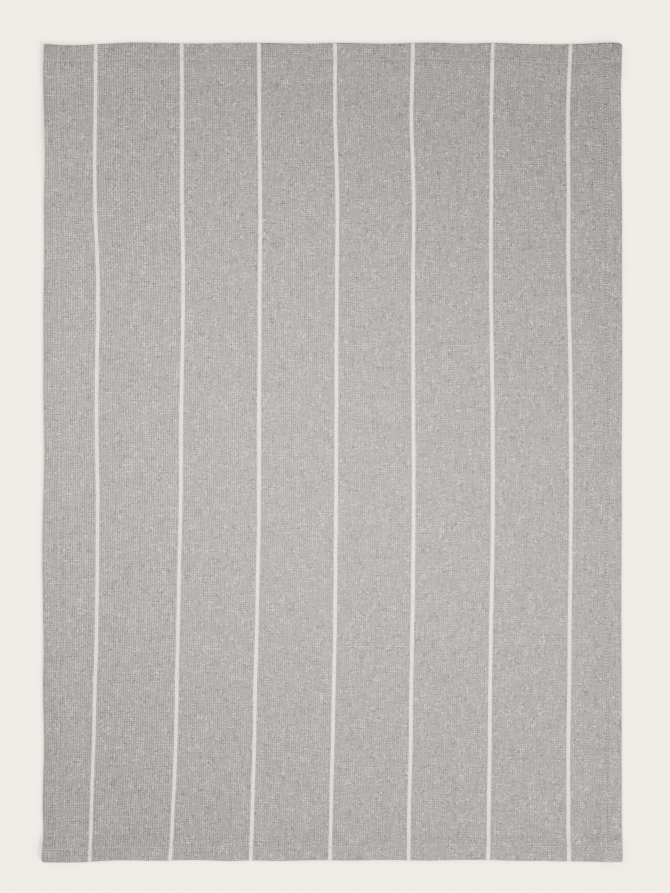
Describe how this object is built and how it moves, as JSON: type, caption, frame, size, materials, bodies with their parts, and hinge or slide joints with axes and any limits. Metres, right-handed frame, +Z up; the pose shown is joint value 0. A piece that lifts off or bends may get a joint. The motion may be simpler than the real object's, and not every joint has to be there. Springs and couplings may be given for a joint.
{
  "type": "tea towel",
  "caption": "Rectangular tea towel laid out flat: a heathered grey, plain-woven kitchen cloth with narrow white lengthwise stripes and stitched double hems on every side.",
  "frame": {"origin": "on the surface that the towel lies on, under the middle of its bounding box", "axes": "+X across the towel's width, +Y along its length and its stripes, +Z up out of its face"},
  "size_m": [0.4972, 0.702, 0.0044],
  "materials": {
    "grey_cloth": "matte, heathered plain weave with narrow white lengthwise stripes"
  },
  "bodies": {
    "root": {"towel_cloth": "grey_cloth"}
  },
  "joints": []
}
